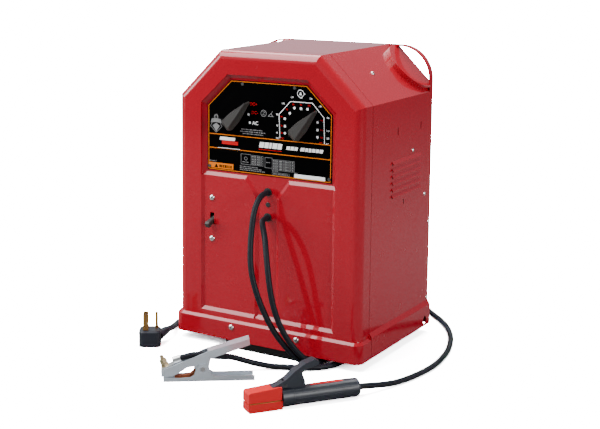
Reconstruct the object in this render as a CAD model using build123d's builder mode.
from build123d import *
import math
import os

# Transformer arc welder with its electrode holder, work clamp and mains lead.
# Millimetres, +Z up, the front faces -Y, and the origin is on the floor under
# the middle of the case.

# ---------------------------------------------------------------- case
case_width = 426
skirt_width = 438
case_depth = 338
case_height = 620
chamfer_across = 97
chamfer_down = 96
ground_gap = 17
skirt_top = 60
skirt_slope = 9
sheet = 1.5
front_sheet = 2.0
front_face = -162
seam = -117
seam_gap = 1.5
rear_face = case_depth / 2
pan_depth = 15.5
corner_round = 18
pad_depth = 4.5
panel_depth = 9.0
press_slope = 7.0

# ---------------------------------------------------------------- front recess
recess_half = 153
recess_bottom = 74
recess_shoulder = 509
recess_top = 568
recess_top_half = 91
pad_top = 362
pad_shoulder = 326
pad_inner = 24
pad_chamfer_x = 50
plate_half = 145
plate_top_half = 88
plate_top = 560
plate_shoulder = 505
plate_bottom = 370
plate_thickness = 1.0

# ---------------------------------------------------------------- controls
range_pivot = (75.0, 473.0)
polarity_pivot = (-80.0, 481.0)
range_rest_angle = 46.0
polarity_rest_angle = 45.0
knob_length_back = 27
knob_length_tip = 52
knob_height = 24
shaft_radius = 4.0
toggle_x = -132
toggle_z = 268
electrode_hole_z = 337
plug_hole_z = 311
work_hole_z = 285
cable_hole_radius = 7.0

# ---------------------------------------------------------------- handles and base
handle_round = 70
handle_thickness = 3.0
handle_rise = 10.0
boss_along = 61
boss_forward = 66
axle_y = 143.5
axle_z = 30
axle_radius = 8.5
base_half = 92
base_front = -166.4
base_rear = 128
base_height = 52
base_sheet = 3.0

# ---------------------------------------------------------------- cords
weld_cable = 10.5
mains_cord = 13.0
weld_floor = weld_cable / 2
mains_floor = mains_cord / 2
coil_pitch = 1.03

os.makedirs("parts", exist_ok=True)


def save(part, label):
    """Label one finished piece and write it."""
    part.label = label
    export_step(part, f"parts/{label}.step")


def facing(y):
    """A plane across the case at depth y, seen from the front."""
    return Plane.XZ.offset(-y)


def case_outline(bottom):
    """Corner points of the folded case with its flared skirt."""
    half = case_width / 2
    skirt = skirt_width / 2
    top = case_height
    right = [
        (skirt, bottom),
        (skirt, skirt_top),
        (half, skirt_top + skirt_slope),
        (half, top - chamfer_down),
        (half - chamfer_across, top),
    ]
    left = [(-x, z) for x, z in reversed(right)]
    return right + left


def straight_outline(half, bottom, top):
    """Corner points of the case without its skirt."""
    right = [
        (half, bottom),
        (half, case_height - chamfer_down),
        (case_width / 2 - chamfer_across, top),
    ]
    left = [(-x, z) for x, z in reversed(right)]
    return right + left


def recess_outline():
    """The pressed window that holds the name plate and the two pads."""
    right = [
        (recess_half, recess_bottom),
        (recess_half, recess_shoulder),
        (recess_top_half, recess_top),
    ]
    left = [(-x, z) for x, z in reversed(right)]
    return right + left


def deep_outline():
    """The deepest level: behind the name plate and down the middle strip."""
    right = [
        (pad_inner, recess_bottom),
        (pad_inner, pad_shoulder),
        (pad_chamfer_x, pad_top),
        (recess_half, pad_top),
        (recess_half, recess_shoulder),
        (recess_top_half, recess_top),
    ]
    left = [(-x, z) for x, z in reversed(right)]
    return right + left


def front_skin(inset):
    """The outside (inset 0) or the inside of the pressed front, as a solid."""
    body_front = front_face + inset
    skirt_front = -case_depth / 2 + inset
    bottom = ground_gap if inset == 0 else -5
    rounding = corner_round - inset
    with BuildPart() as skin:
        with BuildSketch(facing(seam)):
            with BuildLine():
                Polyline(*straight_outline(case_width / 2, bottom, case_height), close=True)
            make_face()
            offset(amount=-inset, kind=Kind.INTERSECTION)
        extrude(amount=seam - body_front)
        front_edges = skin.edges().group_by(Axis.Y)[0]
        fillet(front_edges.sort_by(Axis.Z)[1:], radius=rounding)
        with BuildSketch(Plane.XY.offset(bottom)) as foot:
            with Locations((0, (seam + skirt_front) / 2)):
                Rectangle(skirt_width - 2 * inset, seam - skirt_front)
            fillet(foot.vertices().group_by(Axis.Y)[0], radius=rounding)
        extrude(amount=skirt_top - inset - bottom)
        top_face = skin.faces().filter_by(Axis.Z).filter_by(
            lambda face: abs(face.center().Z - (skirt_top - inset)) < 0.1
        )
        outer = top_face.edges().filter_by(
            lambda edge: edge.center().Y < front_face + 6 or abs(edge.center().X) > case_width / 2 + 1
        )
        outer = outer.filter_by(lambda edge: edge.center().Y < seam - 1)
        outer = outer.filter_by(
            lambda edge: edge.bounding_box().min.Y < front_face - 1
            or abs(edge.center().X) > skirt_width / 2 - inset - 0.5
        )
        chamfer(outer, length=5.0)
    return skin.part


def outline_face(outline, depth, grow):
    """An outline drawn at one depth behind the front, offset outwards."""
    with BuildSketch(facing(front_face + depth)) as drawn:
        with BuildLine():
            Polyline(*outline, close=True)
        make_face()
        offset(amount=grow, kind=Kind.INTERSECTION)
    return drawn.sketch.face()


def pressed_recess(outline, mouth, depth, grow):
    """A block that presses an outline into the front: sloping from its mouth's depth to its floor's."""
    floor = outline_face(outline, depth, grow - press_slope / 2)
    rim = outline_face(outline, mouth, grow + press_slope / 2)
    open_end = outline_face(outline, -20, grow + press_slope / 2)
    with BuildPart() as block:
        loft(sections=[floor, rim])
        loft(sections=[rim, open_end])
    return block.part


def seam_lip():
    """The joggled lip on which the case wrap sits."""
    with BuildPart() as lip:
        with BuildSketch(facing(seam + 12)):
            with BuildLine():
                Polyline(*case_outline(ground_gap), close=True)
            make_face()
            offset(amount=-(sheet + 0.3), kind=Kind.INTERSECTION)
            with BuildLine():
                Polyline(*case_outline(-20), close=True)
            inner = make_face(mode=Mode.PRIVATE)
            offset(inner, amount=-(sheet + 2.3), kind=Kind.INTERSECTION, mode=Mode.SUBTRACT)
        extrude(amount=14)
    return lip.part


front_outside = front_skin(0)
front_inside = front_skin(front_sheet)
pad_press = pressed_recess(recess_outline(), 0, pad_depth, 0)
deep_press = pressed_recess(deep_outline(), pad_depth, panel_depth, 0)
pad_back = pressed_recess(recess_outline(), front_sheet, pad_depth + front_sheet, front_sheet)
deep_back = pressed_recess(deep_outline(), pad_depth + front_sheet, panel_depth + front_sheet, front_sheet)
front_inside = front_inside - pad_back - deep_back
front_outside = front_outside - pad_press - deep_press

switch_screw_gap = 43.5
skirt_screw_x = 77
skirt_screw_z = 45

with BuildPart() as front_shell:
    add(front_outside)
    add(front_inside, mode=Mode.SUBTRACT)
    add(seam_lip())
    with BuildSketch(facing(seam)):
        for hole_z in (electrode_hole_z, work_hole_z):
            with Locations((0, hole_z)):
                Circle(cable_hole_radius)
        with Locations((0, plug_hole_z)):
            Circle(4.0)
        for knob_pivot in (range_pivot, polarity_pivot):
            with Locations(knob_pivot):
                Circle(shaft_radius + 1.5)
        with Locations((toggle_x, toggle_z)):
            Rectangle(10, 24)
        with Locations((toggle_x, toggle_z - switch_screw_gap), (toggle_x, toggle_z + switch_screw_gap)):
            Circle(2.2)
        with Locations((-skirt_screw_x, skirt_screw_z), (skirt_screw_x, skirt_screw_z)):
            Circle(2.7)
    extrude(amount=80, mode=Mode.SUBTRACT)
save(front_shell.part, "front_shell")

# ---------------------------------------------------------------- case wrap
wrap_front = seam + seam_gap
wrap_rear = rear_face - pan_depth
slope = Vector(chamfer_across, 0, -chamfer_down).normalized()
chamfer_normal = Vector(chamfer_down, 0, chamfer_across).normalized()
chamfer_length = math.hypot(chamfer_across, chamfer_down)
louvre_count = 6
louvre_pitch = 13.6
louvre_length = 138
louvre_y = 43
louvre_z = 361
louvre_gap = 6
louvre_reach = 4.0
slot_places = ((0, 459), (112, 459))
side_screws = ((73, 411), (137, 308))
rear_screws_z = (76, 244)
chamfer_screw = (66, -8)


def chamfer_plane(side, lift):
    """A plane on a top chamfer: x down the slope, y to the rear, z outwards."""
    top_edge = Vector(case_width / 2 - chamfer_across, 0, case_height)
    middle = top_edge + slope * (chamfer_length / 2) + chamfer_normal * lift
    origin = (side * middle.X, wrap_rear, middle.Z)
    across = (slope.X, 0, side * slope.Z)
    return Plane(origin=origin, x_dir=across, z_dir=(side * chamfer_normal.X, 0, chamfer_normal.Z))


def handle_boss(side, shrink, top, bottom):
    """Half an oval standing on a chamfer at its rear edge."""
    plane = chamfer_plane(side, bottom)
    with BuildPart() as boss:
        with BuildSketch(plane):
            Ellipse(boss_along - shrink, boss_forward - shrink)
            with Locations((0, 100)):
                Rectangle(400, 200, mode=Mode.SUBTRACT)
        extrude(amount=top - bottom)
    return boss.part


boss_parts = [handle_boss(side, 0, handle_rise, -1.0) for side in (1, -1)]
boss_hollows = [handle_boss(side, sheet, handle_rise - sheet, -8.0) for side in (1, -1)]


def louvre_hood(side, z):
    """The raised lip over one cooling slot."""
    half = case_width / 2
    points = [
        (side * (half - sheet), z + louvre_gap / 2 + 2.5),
        (side * half, z + louvre_gap / 2 + 3.5),
        (side * (half + louvre_reach), z + 0.5),
        (side * (half + louvre_reach), z - 1.5),
        (side * (half + louvre_reach - 1.3), z - 1.5),
        (side * (half - sheet), z + louvre_gap / 2 + 0.2),
    ]
    with BuildPart() as hood:
        with BuildSketch(facing(louvre_y + louvre_length / 2)):
            with BuildLine():
                Polyline(*points, close=True)
            make_face()
        extrude(amount=louvre_length)
    return hood.part


louvre_heights = [louvre_z + (row - (louvre_count - 1) / 2) * louvre_pitch for row in range(louvre_count)]
louvre_hoods = [louvre_hood(side, z) for side in (1, -1) for z in louvre_heights]

with BuildPart() as case_wrap:
    with BuildSketch(facing(wrap_rear)):
        with BuildLine():
            Polyline(*case_outline(ground_gap), close=True)
        make_face()
        with BuildLine():
            Polyline(*case_outline(-20), close=True)
        wrap_inner = make_face(mode=Mode.PRIVATE)
        offset(wrap_inner, amount=-sheet, kind=Kind.INTERSECTION, mode=Mode.SUBTRACT)
    extrude(amount=wrap_rear - wrap_front)
    for boss in boss_parts:
        add(boss)
    for hollow in boss_hollows:
        add(hollow, mode=Mode.SUBTRACT)
    with BuildSketch(Plane.YZ.offset(-300)):
        for louvre_height in louvre_heights:
            with Locations((louvre_y, louvre_height)):
                Rectangle(louvre_length - 6, louvre_gap)
        with Locations(*slot_places):
            SlotOverall(16, 3.5, rotation=90)
        with Locations((33, 309)):
            SlotOverall(12, 3.5, rotation=90)
        with Locations(*side_screws):
            Circle(2.2)
        with Locations((axle_y, axle_z)):
            Circle(axle_radius)
    extrude(amount=600, mode=Mode.SUBTRACT)
    for louvre in louvre_hoods:
        add(louvre)
save(case_wrap.part, "case_wrap")

# ---------------------------------------------------------------- rear panel
vent_centre = 392
vent_rows = 9
vent_pitch = 21
gland_x = -100
gland_z = 85
gland_radius = 9.0


def rear_outline(inset, bottom):
    """Rounded outline of the rear pan, sunk by an inset."""
    half = case_width / 2 - inset
    skirt = skirt_width / 2 - inset
    top = case_height - inset
    turn = handle_round - inset
    bend = turn * (1 - math.sqrt(0.5))
    with BuildSketch(facing(rear_face)) as outline:
        with BuildLine():
            Line((-half + turn, top), (half - turn, top))
            ThreePointArc((half - turn, top), (half - bend, top - bend), (half, top - turn))
            Polyline(
                (half, top - turn),
                (half, skirt_top + skirt_slope - inset),
                (skirt, skirt_top - inset),
                (skirt, bottom),
                (-skirt, bottom),
                (-skirt, skirt_top - inset),
                (-half, skirt_top + skirt_slope - inset),
                (-half, top - turn),
            )
            ThreePointArc((-half, top - turn), (-half + bend, top - bend), (-half + turn, top))
        make_face()
    return outline.sketch


def finger_hole(side, grow):
    """The D-shaped space between a top corner's band and the raised chamfer."""
    middle = Vector(case_width / 2 - chamfer_across / 2, 0, case_height - chamfer_down / 2)
    edge = middle + chamfer_normal * (handle_rise - grow)
    far = 120
    corners = [
        edge - slope * far,
        edge + slope * far,
        edge + slope * far + chamfer_normal * far,
        edge - slope * far + chamfer_normal * far,
    ]
    with BuildSketch(facing(rear_face)) as hole:
        with BuildLine():
            Polyline(*[(side * point.X, point.Z) for point in corners], close=True)
        make_face()
        add(rear_outline(handle_thickness - grow, ground_gap), mode=Mode.INTERSECT)
    return hole.sketch


pan_outside = rear_outline(0, ground_gap)
pan_inside = rear_outline(sheet, ground_gap - 5)
finger_holes = [finger_hole(side, 0) for side in (1, -1)]
finger_rims = [finger_hole(side, sheet) for side in (1, -1)]

with BuildPart() as rear_panel:
    with BuildSketch(facing(rear_face)):
        add(pan_outside)
    extrude(amount=pan_depth)
    with BuildSketch(facing(rear_face - sheet)):
        add(pan_inside)
        for rim in finger_rims:
            add(rim, mode=Mode.SUBTRACT)
    extrude(amount=pan_depth, mode=Mode.SUBTRACT)
    with BuildSketch(facing(rear_face + 1)):
        for hole in finger_holes:
            add(hole)
    extrude(amount=pan_depth + 2, mode=Mode.SUBTRACT)
    with BuildSketch(facing(rear_face + 1)):
        for row in range(vent_rows):
            row_height = (row - (vent_rows - 1) / 2) * vent_pitch
            row_width = 2 * math.sqrt(max(98**2 - row_height**2, 40**2))
            with Locations((0, vent_centre + row_height)):
                SlotOverall(row_width, 7)
        with Locations((gland_x, gland_z)):
            Circle(gland_radius)
    extrude(amount=10, mode=Mode.SUBTRACT)
    with BuildSketch(Plane.YZ.offset(-300)):
        with Locations(*[(161, z) for z in rear_screws_z]):
            Circle(2.25)
    extrude(amount=600, mode=Mode.SUBTRACT)
save(rear_panel.part, "rear_panel")

# ---------------------------------------------------------------- base
with BuildPart() as base_channel:
    with BuildSketch(Plane.XY):
        with Locations((0, (base_front + base_rear) / 2)):
            Rectangle(2 * base_half, base_rear - base_front)
    extrude(amount=base_height)
    with BuildSketch(Plane.XY.offset(base_sheet)):
        with Locations((0, (base_front + base_rear) / 2)):
            Rectangle(2 * (base_half - base_sheet), base_rear - base_front - 2 * base_sheet)
    extrude(amount=base_height, mode=Mode.SUBTRACT)
    with BuildSketch(Plane.YZ.offset(-base_half - 1)):
        with Locations(((base_front + base_rear) / 2, base_height)):
            Rectangle(base_rear - base_front - 30, 2 * (base_height - 26))
    extrude(amount=2 * base_half + 2, mode=Mode.SUBTRACT)
    with BuildSketch(facing(base_front + 10)):
        with Locations((-skirt_screw_x, skirt_screw_z), (skirt_screw_x, skirt_screw_z)):
            Circle(2.7)
    extrude(amount=20, mode=Mode.SUBTRACT)
save(base_channel.part, "base_channel")

# ---------------------------------------------------------------- name plate
plate_face = front_face + panel_depth - plate_thickness
pad_face = front_face + pad_depth
strip_face = front_face + panel_depth
strip_back = strip_face + front_sheet

with BuildPart() as nameplate:
    with BuildSketch(facing(strip_face)):
        with BuildLine():
            Polyline(
                (plate_half, plate_bottom),
                (plate_half, plate_shoulder),
                (plate_top_half, plate_top),
                (-plate_top_half, plate_top),
                (-plate_half, plate_shoulder),
                (-plate_half, plate_bottom),
                close=True,
            )
        make_face()
        for knob_pivot in (range_pivot, polarity_pivot):
            with Locations(knob_pivot):
                Circle(shaft_radius + 1.5, mode=Mode.SUBTRACT)
    extrude(amount=plate_thickness)
save(nameplate.part, "nameplate")

rivet_places = ((60.5, 553), (-60.5, 553), (139.5, 378), (-139.5, 378))

with BuildPart() as nameplate_rivets:
    with BuildSketch(facing(plate_face)):
        with Locations(*rivet_places):
            Circle(3.2)
    extrude(amount=1.6)
save(nameplate_rivets.part, "nameplate_rivets")


def headed_screw(plane, head_radius, head_height, shank_radius, shank_length):
    """A screw whose head stands on the plane and whose shank goes behind it."""
    with BuildPart() as screw:
        with BuildSketch(plane):
            Circle(head_radius)
        extrude(amount=head_height)
        chamfer(screw.edges().filter_by(GeomType.CIRCLE).sort_by(Axis(plane.origin, plane.z_dir))[-1:],
                length=head_height * 0.45)
        with BuildSketch(plane):
            Circle(shank_radius)
        extrude(amount=-shank_length)
    return screw.part


def front_plane(x, y, z):
    """A plane at one place on the front, facing forwards."""
    return Plane(origin=(x, y, z), x_dir=(1, 0, 0), z_dir=(0, -1, 0))


def side_plane(side, x, y, z):
    """A plane at one place on a side, facing outwards."""
    return Plane(origin=(side * x, y, z), x_dir=(0, side, 0), z_dir=(side, 0, 0))


with BuildPart() as skirt_screws:
    for screw_x in (-skirt_screw_x, skirt_screw_x):
        add(headed_screw(front_plane(screw_x, -case_depth / 2, skirt_screw_z), 5.0, 3.0, 2.7, 9))
save(skirt_screws.part, "skirt_screws")

with BuildPart() as panel_screws:
    for screw_z in (toggle_z - switch_screw_gap, toggle_z + switch_screw_gap):
        add(headed_screw(front_plane(toggle_x, pad_face, screw_z), 4.2, 2.3, 2.2, 6))
    for side in (-1, 1):
        for screw_y, screw_z in side_screws:
            add(headed_screw(side_plane(side, case_width / 2, screw_y, screw_z), 4.2, 2.3, 2.2, 6))
        for screw_z in rear_screws_z:
            add(headed_screw(side_plane(side, case_width / 2, 161, screw_z), 4.2, 2.3, 2.2, 6))
save(panel_screws.part, "panel_screws")

# ---------------------------------------------------------------- knobs and their switches
knob_base = plate_face - 1.6
shaft_back = -125.0
switch_side = 56
switch_back = -112.0


def knob_section(plane, back, corner, half, waist, tip, point):
    """One level of the pointer knob: blunt at the back, narrow at the tip."""
    with BuildSketch(plane) as level:
        with BuildLine():
            Polyline(
                (-back, -half * 0.62),
                (-back, half * 0.62),
                (-corner, half),
                (6, waist),
                (tip, point),
                (tip, -point),
                (6, -waist),
                (-corner, -half),
                close=True,
            )
        make_face()
    return level.sketch


def pointer_knob(pivot, angle):
    """A pointer knob turned to its angle, with a blind hole for its shaft."""
    turn = math.radians(angle)
    ahead = (math.cos(turn), 0, math.sin(turn))
    plane = Plane(origin=(pivot[0], knob_base, pivot[1]), x_dir=ahead, z_dir=(0, -1, 0))
    foot = knob_section(plane, knob_length_back, 20, 14.5, 13.0, knob_length_tip, 1.9)
    waist = knob_section(plane.offset(5), knob_length_back, 20, 14.5, 13.0, knob_length_tip, 1.9)
    crown = knob_section(plane.offset(knob_height - 5), 16.5, 15, 10.2, 7.4, 50, 0.9)
    with BuildPart() as knob:
        loft(sections=[foot.face(), waist.face()])
        loft(sections=[waist.face(), crown.face()])
        with BuildSketch(plane):
            Circle(shaft_radius)
        extrude(amount=13, mode=Mode.SUBTRACT)
    return knob.part


def knob_shaft(pivot):
    """The steel shaft from inside a knob to inside its switch."""
    with BuildPart() as shaft:
        with BuildSketch(front_plane(pivot[0], shaft_back, pivot[1])):
            Circle(shaft_radius)
        extrude(amount=shaft_back - (knob_base - 13))
    return shaft.part


def rotary_switch(pivot, contacts):
    """A moulded switch block with its bore and a row of copper terminals."""
    depth = strip_back - switch_back
    with BuildPart() as switch:
        with BuildSketch(front_plane(pivot[0], switch_back, pivot[1])):
            RectangleRounded(switch_side, switch_side, 6)
        extrude(amount=-depth)
        with BuildSketch(front_plane(pivot[0], switch_back, pivot[1])):
            with PolarLocations(switch_side * 0.36, contacts):
                Rectangle(7, 3)
        extrude(amount=-8)
        with BuildSketch(front_plane(pivot[0], strip_back, pivot[1])):
            Circle(shaft_radius + 0.4)
        extrude(amount=-(shaft_back - strip_back + 1), mode=Mode.SUBTRACT)
    return switch.part


save(pointer_knob(range_pivot, range_rest_angle), "range_knob")
save(knob_shaft(range_pivot), "range_shaft")
save(pointer_knob(polarity_pivot, polarity_rest_angle), "polarity_knob")
save(knob_shaft(polarity_pivot), "polarity_shaft")
save(rotary_switch(range_pivot, 11), "range_switch")
save(rotary_switch(polarity_pivot, 3), "polarity_switch")

# ---------------------------------------------------------------- power switch
toggle_pivot_y = pad_face + 7.5
toggle_tilt = 25.0
switch_depth = 42


def toggle_lever():
    """A paddle lever on a cross pin, tilted down to its off position."""
    tilt = math.radians(toggle_tilt)
    ahead = (0, -math.cos(tilt), -math.sin(tilt))
    plane = Plane(origin=(toggle_x - 4.5, toggle_pivot_y, toggle_z), x_dir=ahead, z_dir=(1, 0, 0))
    with BuildPart() as lever:
        with BuildSketch(plane):
            with BuildLine():
                Polyline((0, 2.6), (10, 2.8), (24, 6.0), (30, 4.6), (30, -4.6), (24, -6.0), (10, -2.8),
                         (0, -2.6), close=True)
            make_face()
        extrude(amount=9)
        with BuildSketch(Plane.YZ.offset(toggle_x - 7)):
            with Locations((toggle_pivot_y, toggle_z)):
                Circle(4.0)
        extrude(amount=14)
    return lever.part


def power_switch():
    """The switch body behind the front, hollow where its lever swings."""
    with BuildPart() as body:
        with BuildSketch(front_plane(toggle_x, pad_face + front_sheet, toggle_z)):
            Rectangle(24, 46)
        extrude(amount=-switch_depth)
        with BuildSketch(front_plane(toggle_x, pad_face + front_sheet, toggle_z)):
            Rectangle(15, 24)
        extrude(amount=-16, mode=Mode.SUBTRACT)
        with BuildSketch(Plane.YZ.offset(toggle_x - 8)):
            with Locations((toggle_pivot_y, toggle_z)):
                Circle(1.5)
        extrude(amount=16)
    return body.part


with BuildPart() as power_toggle:
    add(toggle_lever())
    with BuildSketch(Plane.YZ.offset(toggle_x - 10)):
        with Locations((toggle_pivot_y, toggle_z)):
            Circle(1.6)
    extrude(amount=20, mode=Mode.SUBTRACT)
save(power_toggle.part, "power_toggle")
save(power_switch(), "power_switch_body")

# ---------------------------------------------------------------- cable bushings
bushing_flange = 2.2


def cable_bushing(z):
    """A moulded bushing that lines one cable hole of the front."""
    with BuildPart() as bushing:
        with BuildSketch(front_plane(0, strip_face, z)):
            Circle(8.6)
        extrude(amount=bushing_flange)
        with BuildSketch(front_plane(0, strip_face, z)):
            Circle(cable_hole_radius)
        extrude(amount=-8)
        with BuildSketch(front_plane(0, strip_face - bushing_flange, z)):
            Circle(weld_cable / 2)
        extrude(amount=-20, mode=Mode.SUBTRACT)
    return bushing.part


with BuildPart() as cable_bushings:
    add(cable_bushing(electrode_hole_z))
    add(cable_bushing(work_hole_z))
save(cable_bushings.part, "cable_bushings")
save(headed_screw(front_plane(0, strip_face, plug_hole_z), 5.0, 1.8, 4.0, 4), "hole_plug")

# ---------------------------------------------------------------- transformer
core_width = 210
core_height = 176
core_depth = 108
core_bottom = 40
core_y = 20
leg_half = 35
window_outer = 70
yoke = 35
coil_wall = 30
coil_gap = 2
shelf_z = core_bottom + core_height

with BuildPart() as transformer_brackets:
    with BuildSketch(Plane.XY.offset(base_sheet)):
        with Locations((-70, core_y), (70, core_y)):
            Rectangle(32, core_depth + 24)
    extrude(amount=core_bottom - base_sheet)
    with BuildSketch(Plane.XY.offset(base_sheet + 3)):
        with Locations((-70 + 4, core_y), (70 - 4, core_y)):
            Rectangle(32, core_depth + 30)
    extrude(amount=core_bottom - base_sheet - 6, mode=Mode.SUBTRACT)
save(transformer_brackets.part, "transformer_brackets")

with BuildPart() as transformer_core:
    with BuildSketch(facing(core_y + core_depth / 2)):
        with Locations((0, core_bottom + core_height / 2)):
            Rectangle(core_width, core_height)
        with Locations(
            (-(leg_half + window_outer) / 2, core_bottom + core_height / 2),
            ((leg_half + window_outer) / 2, core_bottom + core_height / 2),
        ):
            Rectangle(window_outer - leg_half, core_height - 2 * yoke, mode=Mode.SUBTRACT)
    extrude(amount=core_depth)
save(transformer_core.part, "transformer_core")


def winding(bottom, top):
    """One winding round the centre leg."""
    with BuildPart() as coil:
        with BuildSketch(Plane.XY.offset(bottom)):
            with Locations((0, core_y)):
                RectangleRounded(2 * (leg_half + coil_wall), core_depth + 2 * coil_wall, 14)
                Rectangle(2 * leg_half, core_depth, mode=Mode.SUBTRACT)
        extrude(amount=top - bottom)
    return coil.part


window_bottom = core_bottom + yoke
window_top = core_bottom + core_height - yoke
window_middle = (window_bottom + window_top) / 2
save(winding(window_bottom, window_middle - coil_gap / 2), "secondary_coil")
save(winding(window_middle + coil_gap / 2, window_top), "primary_coil")

# ---------------------------------------------------------------- shelf, choke and rectifier
shelf_half = 150
choke_x = -70
choke_width = 90
choke_height = 84
choke_depth = 56
sink_x = 90
sink_height = 70
sink_depth = 90

with BuildPart() as component_shelf:
    with BuildSketch(Plane.XY.offset(shelf_z)):
        with Locations((0, core_y)):
            Rectangle(2 * shelf_half, core_depth)
    extrude(amount=2)
save(component_shelf.part, "component_shelf")

with BuildPart() as choke_core:
    with BuildSketch(facing(core_y + choke_depth / 2)):
        with Locations((choke_x, shelf_z + 2 + choke_height / 2)):
            Rectangle(choke_width, choke_height)
            Rectangle(choke_width - 44, choke_height - 44, mode=Mode.SUBTRACT)
    extrude(amount=choke_depth)
save(choke_core.part, "choke_core")

with BuildPart() as choke_coil:
    with BuildSketch(Plane.XY.offset(shelf_z + 24)):
        with Locations((choke_x - choke_width / 2 + 11, core_y)):
            Rectangle(56, choke_depth + 34)
            Rectangle(22, choke_depth, mode=Mode.SUBTRACT)
    extrude(amount=choke_height - 44)
save(choke_coil.part, "choke_coil")

with BuildPart() as rectifier_heatsinks:
    with BuildSketch(facing(core_y + sink_depth / 2)):
        for sink_centre in (sink_x - 32, sink_x + 32):
            with Locations((sink_centre, shelf_z + 2 + 3)):
                Rectangle(54, 6)
            for fin in range(7):
                with Locations((sink_centre + (fin - 3) * 8, shelf_z + 2 + sink_height / 2)):
                    Rectangle(2.5, sink_height)
    extrude(amount=sink_depth)
save(rectifier_heatsinks.part, "rectifier_heatsinks")

with BuildPart() as rectifier_diodes:
    for sink_centre in (sink_x - 32, sink_x + 32):
        for diode_z in (shelf_z + 24, shelf_z + 52):
            with BuildSketch(front_plane(sink_centre, core_y - sink_depth / 2, diode_z)):
                RegularPolygon(10, 6)
            extrude(amount=8)
            with BuildSketch(front_plane(sink_centre, core_y - sink_depth / 2 - 8, diode_z)):
                Circle(6)
            extrude(amount=10)
save(rectifier_diodes.part, "rectifier_diodes")

# ---------------------------------------------------------------- fan
fan_z = vent_centre
motor_front = 62
motor_back = 112
blade_front = 124
blade_back = 142
fan_radius = 96

with BuildPart() as fan_bracket:
    with BuildSketch(Plane.XY.offset(fan_z - 9)):
        with BuildLine():
            Polyline(
                (-132, rear_face - sheet), (-112, rear_face - sheet), (-112, rear_face - sheet - 3),
                (-129, rear_face - sheet - 3), (-129, motor_front), (129, motor_front),
                (129, rear_face - sheet - 3), (112, rear_face - sheet - 3), (112, rear_face - sheet),
                (132, rear_face - sheet), (132, motor_front - 3), (-132, motor_front - 3), close=True,
            )
        make_face()
    extrude(amount=18)
save(fan_bracket.part, "fan_bracket")

with BuildPart() as fan_motor:
    with BuildSketch(facing(motor_back)):
        with Locations((0, fan_z)):
            Circle(38)
    extrude(amount=motor_back - motor_front)
    fillet(fan_motor.edges().group_by(Axis.Y)[-1], radius=6)
save(fan_motor.part, "fan_motor")

with BuildPart() as fan_shaft:
    with BuildSketch(facing(blade_back + 3)):
        with Locations((0, fan_z)):
            Circle(4)
    extrude(amount=blade_back + 3 - motor_back)
save(fan_shaft.part, "fan_shaft")


def fan_blade_stub(angle):
    """One flat blade, set at a pitch and turned to its place on the hub."""
    pitch = math.radians(24)
    turn = math.radians(angle)
    out = Vector(math.cos(turn), 0, math.sin(turn))
    along = Vector(-math.sin(turn), 0, math.cos(turn))
    face = out.cross(along) * math.cos(pitch) + along * math.sin(pitch)
    centre = Vector(0, (blade_front + blade_back) / 2, fan_z)
    with BuildPart() as stub:
        with BuildSketch(Plane(origin=centre, x_dir=out, z_dir=face)):
            with BuildLine():
                Polyline((16, -9), (fan_radius - 6, -20), (fan_radius, -8), (fan_radius, 12),
                         (fan_radius - 8, 20), (16, 9), close=True)
            make_face()
        extrude(amount=1.0, both=True)
    return stub.part


with BuildPart() as fan_blade:
    with BuildSketch(facing(blade_back)):
        with Locations((0, fan_z)):
            Circle(22)
    extrude(amount=blade_back - blade_front)
    for blade in range(5):
        add(fan_blade_stub(72 * blade + 18))
    with BuildSketch(facing(blade_back + 2)):
        with Locations((0, fan_z)):
            Circle(4)
    extrude(amount=40, mode=Mode.SUBTRACT)
save(fan_blade.part, "fan_blade")

with BuildPart() as fan_guard:
    with BuildSketch(facing(rear_face + 2.5)):
        with Locations((0, fan_z)):
            for ring in (30, 60, 90, 110):
                Circle(ring + 1.5)
                Circle(ring - 1.5, mode=Mode.SUBTRACT)
            for spoke in (45, 135):
                Rectangle(222, 4, rotation=spoke)
    extrude(amount=2.5)
save(fan_guard.part, "fan_guard")

# ---------------------------------------------------------------- cords
def corner_radii(points):
    """The largest tangent radius that each corner's two runs allow."""
    places = [Vector(*point) for point in points]
    radii = []
    for before, corner, after in zip(places, places[1:], places[2:]):
        half_turn = math.radians((corner - before).get_angle(after - corner)) / 2
        shorter = min((corner - before).length, (after - corner).length)
        radii.append(0.45 * shorter / math.tan(half_turn))
    return radii


def cord_tube(label, points, diameter):
    """A cord along straight runs joined by tangent arcs."""
    radii = corner_radii(points)
    with BuildPart() as tube:
        with BuildLine() as path:
            FilletPolyline(*points, radius=radii)
        with BuildSketch(Plane(origin=path.line @ 0, z_dir=path.line % 0)):
            Circle(diameter / 2)
        sweep()
    length = sum(edge.length for edge in path.edges())
    ratio = tube.part.volume / (math.pi * diameter**2 / 4 * length)
    print(f"{label} length {length:.0f} volume ratio {ratio:.4f} radii", [round(r) for r in radii])
    save(tube.part, label)


def coil_block(label, centre, outer, inner, height):
    """The outer shape of one coil of cord lying on the floor."""
    with BuildPart() as coil:
        with BuildSketch(Plane.XY):
            with Locations(centre):
                Circle(outer)
                Circle(inner, mode=Mode.SUBTRACT)
        extrude(amount=height)
        fillet(coil.edges().filter_by(GeomType.CIRCLE), radius=height * 0.24)
    save(coil.part, label)


electrode_coil_centre = (-51, 262)
work_coil_centre = (88, 262)
mains_coil_centre = (-206, 268)
weld_coil_start = 62.9
mains_coil_start = 78.0
electrode_turns = 3.5
work_turns = 2.75
mains_turns = 2.375
weld_step = weld_cable * coil_pitch
mains_step = mains_cord * coil_pitch
weld_upper = weld_floor + weld_step
mains_upper = mains_floor + mains_step
mains_coil_end = mains_coil_start - mains_step / 2

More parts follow.
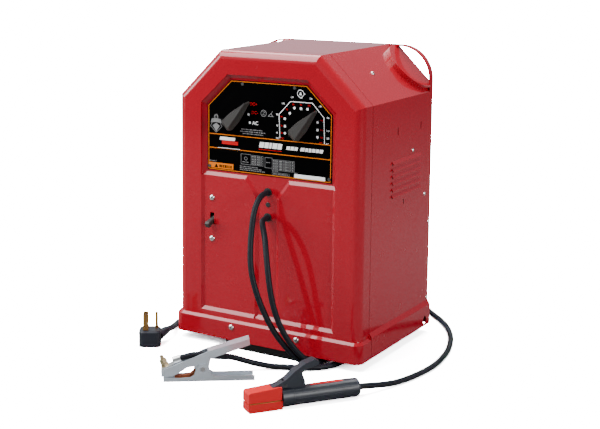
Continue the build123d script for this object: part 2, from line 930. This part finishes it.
electrode_front = [
    (0, -150, 337), (0, -174, 337), (0, -196, 324), (0.5, -210, 302), (2, -219, 273),
    (6, -231, 238), (14, -242, 197), (28, -245, 155), (45, -240, 112), (64, -232, 74),
    (85, -218, 41), (102, -198, 14), (109, -170, weld_floor), (110, -135, weld_floor),
    (114, -65, weld_floor), (116, 10, weld_floor), (115, 80, weld_floor),
    (108, 132, weld_floor), (91, 168, weld_floor), (62, 186, weld_floor),
    (25, 192, weld_floor), (-14, 197, weld_floor), (-51, 199.1, weld_floor),
]
electrode_rear = [
    (-51, 324.9, weld_upper), (-18, 326, weld_upper - 1.5), (16, 331, 9.0),
    (52, 340, weld_floor), (97, 345, weld_floor), (141, 318, weld_floor),
    (181, 271, weld_floor), (221, 232, weld_floor), (254, 190, weld_floor),
    (283, 137, weld_floor), (303, 84, weld_floor), (319, 24, weld_floor),
    (328, -55, weld_floor), (321, -118, weld_floor), (311, -165, weld_floor),
    (298, -202, 7.5), (284, -237, 13), (267.75, -272.75, 18.25), (258.28, -285.65, 18.25),
]
work_front = [
    (0, -150, 285), (0, -173, 285), (10, -192, 279), (27, -210, 259), (42, -228, 222),
    (54, -239, 178), (63, -241, 139), (73, -237, 103), (86, -228, 70), (101, -215, 42),
    (116, -197, 18), (125, -174, weld_floor), (128, -138, weld_floor),
    (131, -68, weld_floor), (133, 5, weld_floor), (134, 75, weld_floor),
    (132, 128, weld_floor), (127, 160, weld_floor), (113, 186, weld_floor),
    (88, 199.1, weld_floor),
]
work_return = [
    (150.9, 262, weld_upper), (152, 230, weld_upper - 1.5), (155, 197, 9.0),
    (158, 160, weld_floor), (161, 100, weld_floor), (163.5, 30, weld_floor),
    (165, -40, weld_floor), (166, -100, weld_floor), (163, -145, weld_floor),
    (152, -176, weld_floor), (134, -197, weld_floor), (110, -212, weld_floor),
    (84, -223, weld_floor), (58, -237, 6.5), (30.4, -258, 14.5), (15, -279, 25),
]
work_clamp_end = [
    (14.7, -279.4, 25.2), (2, -297, 33.6), (-2.9, -324.6, 40), (-9.6, -339, 44.5),
    (-21.2, -350.2, 48), (-35.3, -361.4, 49), (-49.8, -372.1, 46.5), (-65.8, -384.1, 40.2),
]
mains_rear = [
    (-100, 168, 85), (-100, 202, 84), (-103, 232, 71), (-110, 258, 50),
    (-121, 283, 28), (-134, 305, 13.5), (-151, 323, mains_floor),
]
mains_front = [
    (-206 - 71.3, 268, mains_upper), (-279, 232, mains_upper - 1), (-277, 197, 12.5),
    (-272, 160, mains_floor), (-267, 100, mains_floor), (-264, 35, mains_floor),
    (-264, -35, mains_floor), (-261.5, -88, mains_floor), (-252, -119, 8),
    (-238, -146, 13), (-225, -172, 20), (-222, -197, 21.5),
]

cord_tube("electrode_cable_front", electrode_front, weld_cable)
cord_tube("electrode_cable_rear", electrode_rear, weld_cable)
cord_tube("work_cable_front", work_front, weld_cable)
cord_tube("work_cable_return", work_return, weld_cable)
cord_tube("work_cable_clamp_end", work_clamp_end, weld_cable)
cord_tube("power_cord_rear", mains_rear, mains_cord)
cord_tube("power_cord_front", mains_front, mains_cord)

weld_coil_outer = weld_coil_start + weld_floor
coil_block("electrode_cable_coil", electrode_coil_centre, weld_coil_outer,
           weld_coil_start - weld_step * electrode_turns / 2 - weld_floor, weld_upper + weld_floor)
coil_block("work_cable_coil", work_coil_centre, weld_coil_outer,
           weld_coil_start - weld_step * work_turns / 2 - weld_floor, weld_upper + weld_floor)
coil_block("power_cord_coil", mains_coil_centre, mains_coil_start + mains_floor,
           mains_coil_start - mains_step * mains_turns / 2 - mains_floor, mains_upper + mains_floor)

# ---------------------------------------------------------------- mains gland and plug
relief_length = 34

with BuildPart() as power_cord_relief:
    relief_plane = Plane(origin=(gland_x, rear_face, gland_z), x_dir=(1, 0, 0), z_dir=(0, 1, 0))
    with BuildSketch(relief_plane):
        Circle(14)
    extrude(amount=4)
    with BuildSketch(relief_plane):
        Circle(gland_radius)
    extrude(amount=-8)
    with BuildSketch(relief_plane.offset(4)):
        Circle(11)
    with BuildSketch(relief_plane.offset(relief_length)):
        Circle(8)
    loft()
    with BuildSketch(relief_plane.offset(-8)):
        Circle(mains_floor)
    extrude(amount=60, mode=Mode.SUBTRACT)
save(power_cord_relief.part, "power_cord_relief")

plug_corner = Vector(-225, -262, 0)
plug_right = Vector(0.836, 0.548, 0)
plug_back = Vector(-0.548, 0.836, 0)
plug_height = 34
blade_top = 70


def plug_plane(u, w, z):
    """A level plane on the plug at its own across and back distances."""
    return Plane(origin=plug_corner + plug_right * u + plug_back * w + Vector(0, 0, z),
                 x_dir=plug_right, z_dir=(0, 0, 1))


with BuildPart() as plug_body:
    with BuildSketch(plug_plane(5, 22, 0)):
        RectangleRounded(46, 44, 10)
    extrude(amount=plug_height)
    chamfer(plug_body.edges().group_by(Axis.Z)[-1], length=3)
    neck_start = Vector(-222, -226, 17)
    neck_end = Vector(*mains_front[-1])
    neck_plane = Plane(origin=neck_start, z_dir=neck_end - neck_start)
    with BuildSketch(neck_plane):
        Circle(11)
    with BuildSketch(Plane(origin=neck_end, x_dir=neck_plane.x_dir, z_dir=neck_plane.z_dir)):
        Circle(8.5)
    loft()
save(plug_body.part, "plug_body")

with BuildPart() as plug_blades:
    with BuildSketch(plug_plane(0, 0, plug_height)):
        with Locations((-3.5, 9), (-3.5, 27)):
            Rectangle(11, 2)
        with Locations((19, 25)):
            Circle(3)
    extrude(amount=blade_top - plug_height)
save(plug_blades.part, "plug_blades")

# ---------------------------------------------------------------- electrode holder
holder_start = Vector(139.9, -446.9, 0)
holder_along = Vector(0.592, 0.806, 0).normalized()
holder_side = Vector(holder_along.Y, -holder_along.X, 0)
grip_radius = 17.6
grip_centre = 18.25
grip_start = 58
grip_end = 216
jaw_half = 14.5
jaw_split = 17.2
jaw_gap = 1.3
contact_half = 12.4
spring_u = 89
spring_radius = 4.2
holder_pivot = (66, 41.5)


def holder_slab(points, half, middle=0.0):
    """A profile in the holder's upright plane, thickened to both sides."""
    plane = Plane(origin=holder_start + holder_side * middle, x_dir=holder_along, z_dir=holder_side)
    with BuildPart() as slab:
        with BuildSketch(plane):
            with BuildLine():
                Polyline(*points, close=True)
            make_face()
        extrude(amount=half, both=True)
    return slab.part


def holder_round(place, radius, half):
    """A round bar across the holder at one place of its upright plane."""
    plane = Plane(origin=holder_start, x_dir=holder_along, z_dir=holder_side)
    with BuildPart() as bar:
        with BuildSketch(plane):
            with Locations(place):
                Circle(radius)
        extrude(amount=half, both=True)
    return bar.part


def holder_section(u, z):
    """A plane across the holder at one distance along it."""
    return Plane(origin=holder_start + holder_along * u + Vector(0, 0, z),
                 x_dir=holder_side, z_dir=holder_along)


spring_seat = Plane(origin=holder_start + holder_along * spring_u + Vector(0, 0, 33), x_dir=holder_along,
                    z_dir=(0, 0, 1))

with BuildPart() as holder_handle:
    with BuildSketch(holder_section(grip_start, grip_centre)):
        Circle(18.25)
    extrude(amount=22)
    with BuildSketch(holder_section(grip_start + 22, grip_centre)):
        Circle(grip_radius)
    extrude(amount=grip_end - grip_start - 22)
    fillet(holder_handle.edges().filter_by(GeomType.CIRCLE).sort_by(Axis(holder_start, holder_along))[-1:],
           radius=5)
    add(holder_slab([(59, 30), (59, 41.5), (62, 46.5), (70, 46.5), (73, 41.5), (73, 30)], 4))
    add(holder_slab([(74.5, 30), (106, 30), (105.5, 41.5), (100, 44.5), (76, 41)], 6.2))
    with BuildSketch(spring_seat):
        Circle(spring_radius + 0.6)
    extrude(amount=24, mode=Mode.SUBTRACT)
    add(holder_round(holder_pivot, 3.0, 9.5), mode=Mode.SUBTRACT)
    with BuildSketch(holder_section(186, grip_centre)):
        Circle(weld_floor)
    extrude(amount=40, mode=Mode.SUBTRACT)
save(holder_handle.part, "holder_handle")

with BuildPart() as holder_lower_jaw:
    add(holder_slab([(-9, 2), (-7, 0), (grip_start, 0), (grip_start, jaw_split - jaw_gap),
                     (-9, jaw_split - jaw_gap)], jaw_half))
    add(holder_slab([(-6, 11), (54, 11), (54, 30), (-6, 30)], contact_half), mode=Mode.SUBTRACT)
save(holder_lower_jaw.part, "holder_lower_jaw")

with BuildPart() as holder_upper_jaw:
    add(holder_slab([(-9, jaw_split + jaw_gap), (56, jaw_split + jaw_gap), (56, 41.6), (48, 41.6), (-6.5, 38),
                     (-9, 35)], jaw_half))
    add(holder_slab([(-6, 5), (54, 5), (54, 23.4), (-6, 23.4)], contact_half), mode=Mode.SUBTRACT)
save(holder_upper_jaw.part, "holder_upper_jaw")

with BuildPart() as holder_lower_contact:
    add(holder_slab([(-6, 11), (54, 11), (54, jaw_split - 0.2), (-6, jaw_split - 0.2)], contact_half))
save(holder_lower_contact.part, "holder_lower_contact")

with BuildPart() as holder_upper_contact:
    add(holder_slab([(-6, jaw_split + 0.2), (54, jaw_split + 0.2), (54, 23.4), (-6, 23.4)], contact_half))
save(holder_upper_contact.part, "holder_upper_contact")

with BuildPart() as holder_lever:
    add(holder_slab([(40, 41.2), (56, 38), (75, 37.8), (90, 41), (105.5, 43.6), (98.5, 62), (110, 69),
                     (132, 74), (131, 82), (124, 85), (104, 79), (84, 67), (68, 54), (52, 46)], 9))
    add(holder_slab([(73, 20), (112, 20), (112, 46), (100, 60), (94, 57.5), (84, 51), (76, 46)], 6.6),
        mode=Mode.SUBTRACT)
    add(holder_slab([(58, 20), (58, 48), (63, 52), (70, 52), (76, 46), (76, 20)], 4.4), mode=Mode.SUBTRACT)
    add(holder_round(holder_pivot, 3.2, 12), mode=Mode.SUBTRACT)
    add(holder_upper_jaw.part, mode=Mode.SUBTRACT)
save(holder_lever.part, "holder_lever")

with BuildPart() as holder_pivot_pin:
    add(holder_round(holder_pivot, 3.0, 9.5))
save(holder_pivot_pin.part, "holder_pivot_pin")

with BuildPart() as holder_spring:
    with BuildSketch(spring_seat):
        Circle(spring_radius)
    extrude(amount=24)
    add(holder_lever.part, mode=Mode.SUBTRACT)
    add(holder_handle.part, mode=Mode.SUBTRACT)
save(holder_spring.part, "holder_spring")

# ---------------------------------------------------------------- work clamp
clamp_start = Vector(-79.2, -412.9, 0)
clamp_along = Vector(0.8007, 0.599, 0).normalized()
clamp_near = Vector(clamp_along.Y, -clamp_along.X, 0)
clamp_width = 30
clamp_sheet = 2.0
clamp_pin = (78, 24)
upper_inset = 2.4


def clamp_slab(points, near, far):
    """A profile in the clamp's upright plane, between two depths behind its near side."""
    plane = Plane(origin=clamp_start - clamp_near * far, x_dir=clamp_along, z_dir=clamp_near)
    with BuildPart() as slab:
        with BuildSketch(plane):
            with BuildLine():
                Polyline(*points, close=True)
            make_face()
        extrude(amount=far - near)
    return slab.part


def clamp_bar(place, radius, near, far):
    """A round bar across the clamp between two depths."""
    plane = Plane(origin=clamp_start - clamp_near * far, x_dir=clamp_along, z_dir=clamp_near)
    with BuildPart() as bar:
        with BuildSketch(plane):
            with Locations(place):
                Circle(radius)
        extrude(amount=far - near)
    return bar.part


lower_flange = [(2, 0), (178, 0), (178, 9.5), (101, 9.5), (93, 14), (90, 28), (85, 34), (71, 34),
                (66, 27), (61, 13), (54, 8.5), (33, 7), (2, 9)]
upper_flange = [(-2, 9.6), (20, 10.2), (33, 17), (48, 27), (60, 29), (67, 20), (72, 14), (84, 14),
                (89, 20), (93, 43.6), (169, 70), (168, 82), (88, 58.4), (40, 38.5), (-2, 22)]
jaw_web = [(-2, 9.6), (0, 9.6), (0, 20.4), (40, 36.5), (40, 38.5), (-2, 22)]
handle_web = [(88, 56.4), (168, 80), (168, 82), (88, 58.4)]

with BuildPart() as clamp_lower_arm:
    add(clamp_slab([(2, 0), (178, 0), (178, clamp_sheet), (2, clamp_sheet)], 0, clamp_width))
    add(clamp_slab(lower_flange, 0, clamp_sheet))
    add(clamp_slab(lower_flange, clamp_width - clamp_sheet, clamp_width))
    add(clamp_bar(clamp_pin, 3.0, -5, 40), mode=Mode.SUBTRACT)
save(clamp_lower_arm.part, "clamp_lower_arm")

web_slope = Vector(40, 16.5, 0).normalized()
stud_foot = clamp_start + clamp_along * 7 - clamp_near * 15 + Vector(0, 0, 26.1)
stud_up = (clamp_along * -web_slope.Y + Vector(0, 0, web_slope.X)).normalized()
stud_plane = Plane(origin=stud_foot, x_dir=clamp_near, z_dir=stud_up)

with BuildPart() as clamp_upper_arm:
    add(clamp_slab(upper_flange, upper_inset, upper_inset + clamp_sheet))
    add(clamp_slab(upper_flange, clamp_width - upper_inset - clamp_sheet, clamp_width - upper_inset))
    add(clamp_slab(jaw_web, upper_inset, clamp_width - upper_inset))
    add(clamp_slab(handle_web, upper_inset, clamp_width - upper_inset))
    add(clamp_bar(clamp_pin, 3.3, -5, 40), mode=Mode.SUBTRACT)
    with BuildSketch(stud_plane.offset(-12)):
        Circle(4)
    extrude(amount=16, mode=Mode.SUBTRACT)
save(clamp_upper_arm.part, "clamp_upper_arm")

with BuildPart() as clamp_pivot:
    add(clamp_bar(clamp_pin, 3.0, -1.2, clamp_width + 1.2))
    add(clamp_bar(clamp_pin, 4.6, -1.2, 0))
    add(clamp_bar(clamp_pin, 4.6, clamp_width, clamp_width + 1.2))
save(clamp_pivot.part, "clamp_pivot")

with BuildPart() as clamp_spring:
    add(clamp_bar(clamp_pin, 7.5, 7, clamp_width - 7))
    add(clamp_bar(clamp_pin, 3.6, 0, clamp_width), mode=Mode.SUBTRACT)
save(clamp_spring.part, "clamp_spring")

with BuildPart() as clamp_stud:
    with BuildSketch(stud_plane.offset(1.6)):
        RegularPolygon(8, 6)
    extrude(amount=6.5)
    with BuildSketch(stud_plane.offset(9.5)):
        RegularPolygon(8, 6)
    extrude(amount=6.5)
    with BuildSketch(stud_plane.offset(-8)):
        Circle(4)
    extrude(amount=32)
    with BuildSketch(stud_plane.offset(-6)):
        RegularPolygon(7, 6)
    extrude(amount=3.4)
save(clamp_stud.part, "clamp_stud")

with BuildPart() as cable_lug:
    with BuildSketch(stud_plane):
        with Locations((0, 4)):
            Rectangle(17, 26)
        with Locations((0, 0)):
            Circle(4, mode=Mode.SUBTRACT)
    extrude(amount=1.6)
    lug_from = Vector(*work_clamp_end[-1])
    lug_back = (lug_from - Vector(*work_clamp_end[-2])).normalized()
    with BuildSketch(Plane(origin=lug_from - lug_back * 8, z_dir=lug_back)):
        Circle(7)
    extrude(amount=16)
    with BuildSketch(Plane(origin=lug_from - lug_back * 9, z_dir=lug_back)):
        Circle(weld_floor)
    extrude(amount=9, mode=Mode.SUBTRACT)
    add(clamp_stud.part, mode=Mode.SUBTRACT)
    add(clamp_upper_arm.part, mode=Mode.SUBTRACT)
save(cable_lug.part, "cable_lug")

with BuildPart() as clamp_braid:
    add(clamp_slab([(24, 4), (40, 3), (58, 6), (64, 12), (66, 22), (62, 22), (59, 14), (52, 10),
                    (40, 8), (24, 8)], 10, 20))
save(clamp_braid.part, "clamp_braid")
